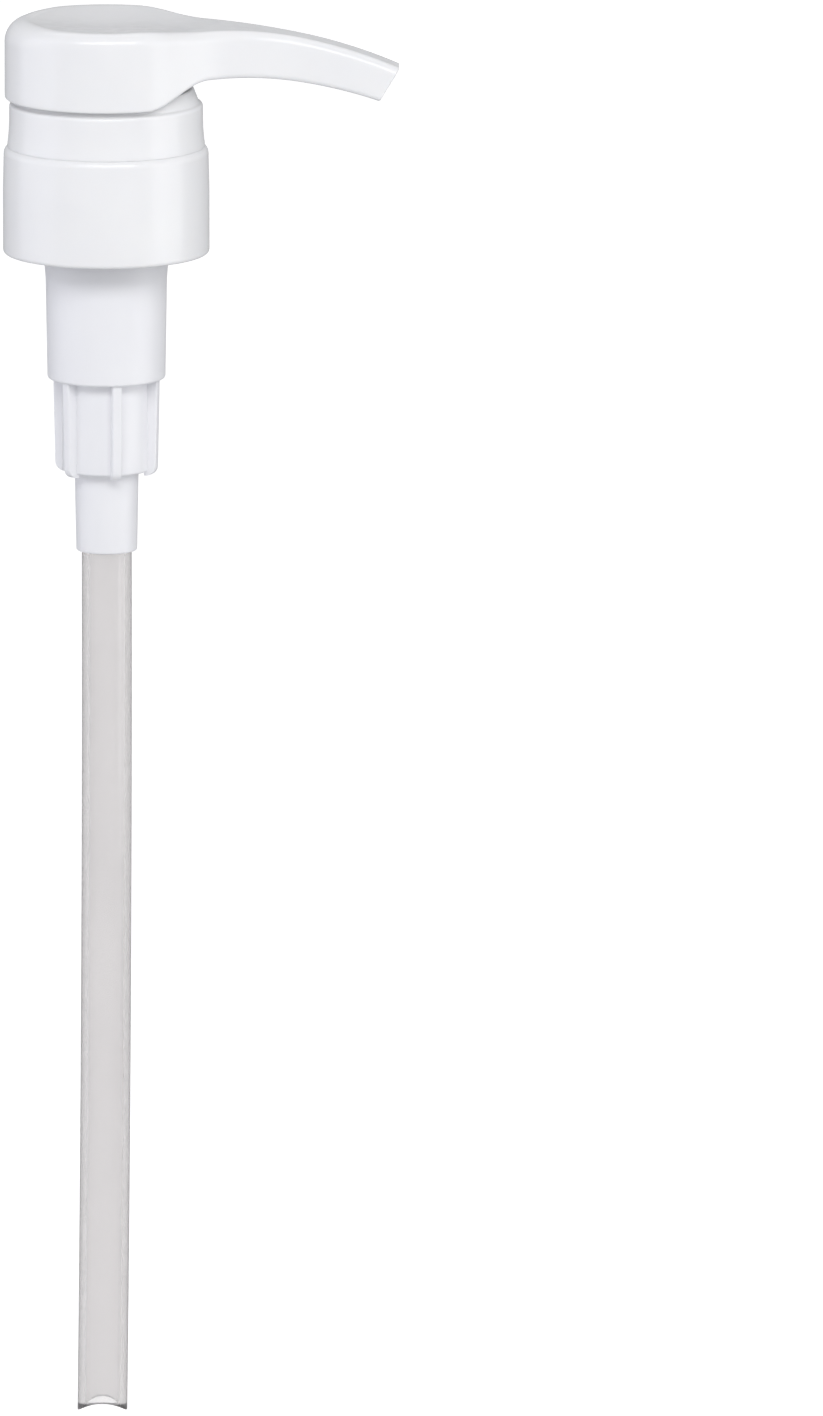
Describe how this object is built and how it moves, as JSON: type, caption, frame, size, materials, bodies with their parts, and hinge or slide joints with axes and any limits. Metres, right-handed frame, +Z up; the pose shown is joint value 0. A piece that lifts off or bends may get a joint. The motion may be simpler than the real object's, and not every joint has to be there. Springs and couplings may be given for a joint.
{
  "type": "condiment pump dispenser",
  "caption": "Hand pump for a gallon condiment jar: drooping spout head, lock collar, screw closure, finned pump housing and long dip tube.",
  "frame": {"origin": "on the pump axis, in the plane of the jar's rim, which is the underside of the jar gasket", "axes": "+Z up along the pump axis, +X along the spout from above"},
  "size_m": [0.0807, 0.042, 0.2887],
  "materials": {
    "gloss_white_plastic": "glossy white injection-moulded polypropylene",
    "satin_white_plastic": "satin white injection-moulded polypropylene",
    "natural_plastic": "uncoloured polyethylene, milky",
    "gasket_foam": "matt pale grey closed-cell foam",
    "stainless_steel": "drawn stainless wire and polished stainless ball",
    "tube_plastic": "cloudy uncoloured extruded polyethylene tube"
  },
  "bodies": {
    "housing": {"pump_housing": "satin_white_plastic", "lock_collar": "gloss_white_plastic", "stem_seal": "natural_plastic", "jar_gasket": "gasket_foam", "ball_retainer": "natural_plastic", "return_spring": "stainless_steel", "dip_tube": "tube_plastic"},
    "closure": {"closure_cap": "gloss_white_plastic"},
    "plunger": {"valve_rod": "natural_plastic"},
    "head": {"actuator_head": "gloss_white_plastic", "stem": "satin_white_plastic"},
    "piston": {"piston": "natural_plastic"},
    "inlet_ball": {"inlet_ball": "stainless_steel"}
  },
  "joints": [
    {"name": "pump_stroke", "type": "slide", "parent": "housing", "child": "plunger", "axis": [0, 0, 1], "range_m": [0, 0.0214], "deforming": ["return_spring"]},
    {"name": "head_swivel", "type": "hinge", "parent": "plunger", "child": "head", "pos_m": [0, 0, 0.025], "axis": [0, 0, 1], "continuous": true},
    {"name": "piston_lag", "type": "slide", "parent": "plunger", "child": "piston", "axis": [0, 0, 1], "range_m": [0, 0.0015]},
    {"name": "closure_turn", "type": "hinge", "parent": "housing", "child": "closure", "pos_m": [0, 0, 0], "axis": [0, 0, 1], "continuous": true},
    {"name": "inlet_ball_lift", "type": "slide", "parent": "housing", "child": "inlet_ball", "axis": [0, 0, 1], "range_m": [0, 0.0024]}
  ]
}
